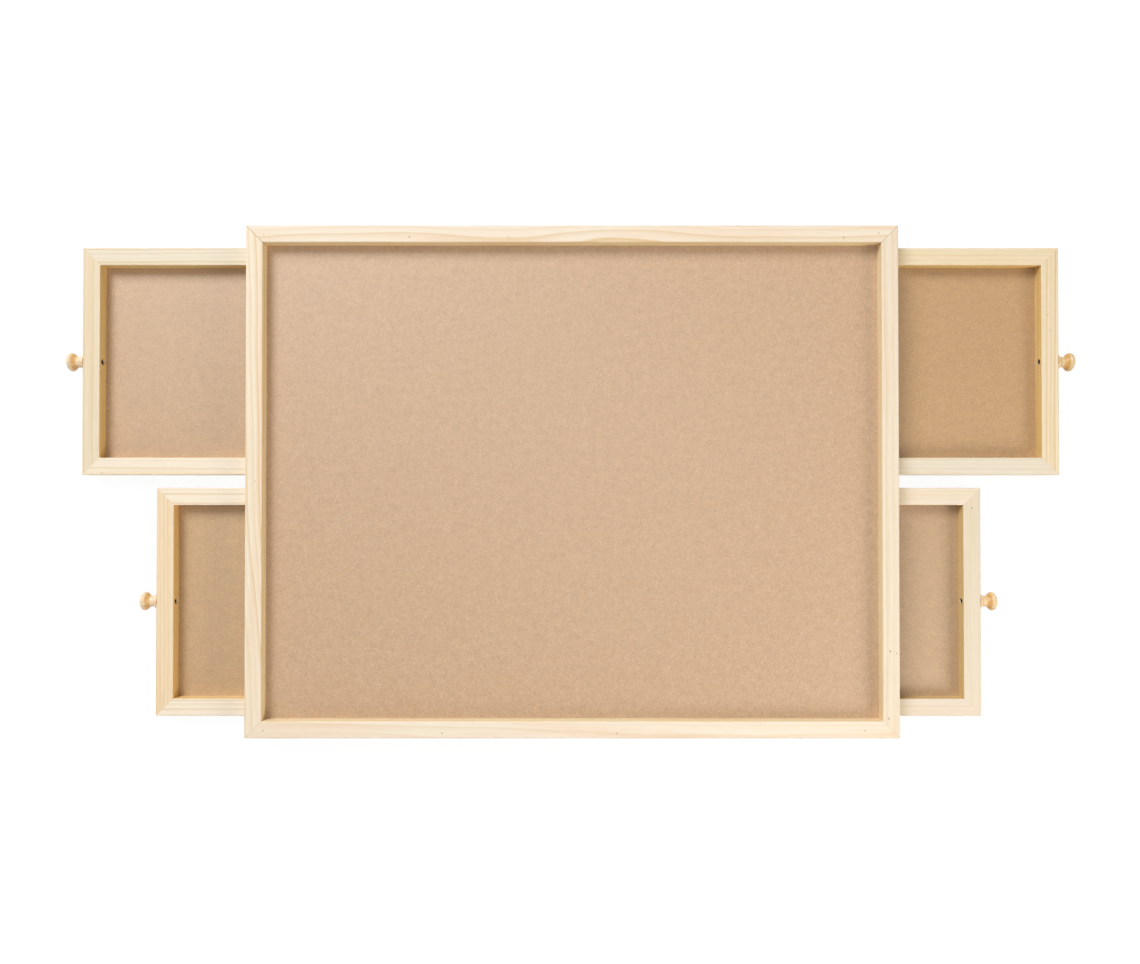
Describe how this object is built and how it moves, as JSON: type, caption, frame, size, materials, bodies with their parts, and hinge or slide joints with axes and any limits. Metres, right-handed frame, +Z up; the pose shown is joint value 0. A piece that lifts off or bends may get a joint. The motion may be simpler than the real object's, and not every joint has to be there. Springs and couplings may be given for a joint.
{
  "type": "jigsaw puzzle table with drawers",
  "caption": "Low rimmed wooden board for doing jigsaw puzzles, with a sunk hardboard surface and shallow sorting drawers that slide out of both ends on wooden runners and have turned knobs.",
  "frame": {"origin": "on the surface that the table stands on, under the middle of the case", "axes": "+X to the right along the long rails, towards the right-hand drawers; +Y to the rear; +Z up"},
  "size_m": [1.407, 0.698, 0.052],
  "materials": {
    "case_pine": "pale pine, sanded and clear matt lacquered",
    "drawer_pine": "pale pine, sanded and clear matt lacquered",
    "hardboard": "smooth pressed fibreboard, unpainted",
    "knob_wood": "turned hardwood, clear satin lacquer",
    "beech": "planed beech, bare",
    "steel": "bright zinc plated"
  },
  "bodies": {
    "case": {"near_rail": "case_pine", "rear_rail": "case_pine", "left_end_rail": "case_pine", "right_end_rail": "case_pine", "work_board": "hardboard", "cross_rail": "case_pine", "left_divider": "case_pine", "right_divider": "case_pine", "left_rear_outer_runner": "beech", "left_rear_inner_runner": "beech", "left_near_outer_runner": "beech", "left_near_inner_runner": "beech", "right_rear_outer_runner": "beech", "right_rear_inner_runner": "beech", "right_near_outer_runner": "beech", "right_near_inner_runner": "beech", "frame_dowels": "beech", "rim_brads": "steel", "divider_screws": "steel", "runner_brads": "steel"},
    "left_rear_drawer": {"left_rear_drawer_face": "drawer_pine", "left_rear_drawer_tail": "drawer_pine", "left_rear_drawer_outer_side": "drawer_pine", "left_rear_drawer_inner_side": "drawer_pine", "left_rear_drawer_floor": "hardboard", "left_rear_drawer_knob": "knob_wood", "left_rear_drawer_knob_screw": "steel", "left_rear_drawer_brads": "steel"},
    "left_near_drawer": {"left_near_drawer_face": "drawer_pine", "left_near_drawer_tail": "drawer_pine", "left_near_drawer_outer_side": "drawer_pine", "left_near_drawer_inner_side": "drawer_pine", "left_near_drawer_floor": "hardboard", "left_near_drawer_knob": "knob_wood", "left_near_drawer_knob_screw": "steel", "left_near_drawer_brads": "steel"},
    "right_rear_drawer": {"right_rear_drawer_face": "drawer_pine", "right_rear_drawer_tail": "drawer_pine", "right_rear_drawer_outer_side": "drawer_pine", "right_rear_drawer_inner_side": "drawer_pine", "right_rear_drawer_floor": "hardboard", "right_rear_drawer_knob": "knob_wood", "right_rear_drawer_knob_screw": "steel", "right_rear_drawer_brads": "steel"},
    "right_near_drawer": {"right_near_drawer_face": "drawer_pine", "right_near_drawer_tail": "drawer_pine", "right_near_drawer_outer_side": "drawer_pine", "right_near_drawer_inner_side": "drawer_pine", "right_near_drawer_floor": "hardboard", "right_near_drawer_knob": "knob_wood", "right_near_drawer_knob_screw": "steel", "right_near_drawer_brads": "steel"}
  },
  "joints": [
    {"name": "left_rear_drawer_slide", "type": "slide", "parent": "case", "child": "left_rear_drawer", "axis": [-1, 0, 0], "range_m": [-0.236, 0.095]},
    {"name": "left_near_drawer_slide", "type": "slide", "parent": "case", "child": "left_near_drawer", "axis": [-1, 0, 0], "range_m": [-0.132, 0.199]},
    {"name": "right_rear_drawer_slide", "type": "slide", "parent": "case", "child": "right_rear_drawer", "axis": [1, 0, 0], "range_m": [-0.232, 0.099]},
    {"name": "right_near_drawer_slide", "type": "slide", "parent": "case", "child": "right_near_drawer", "axis": [1, 0, 0], "range_m": [-0.122, 0.209]}
  ]
}
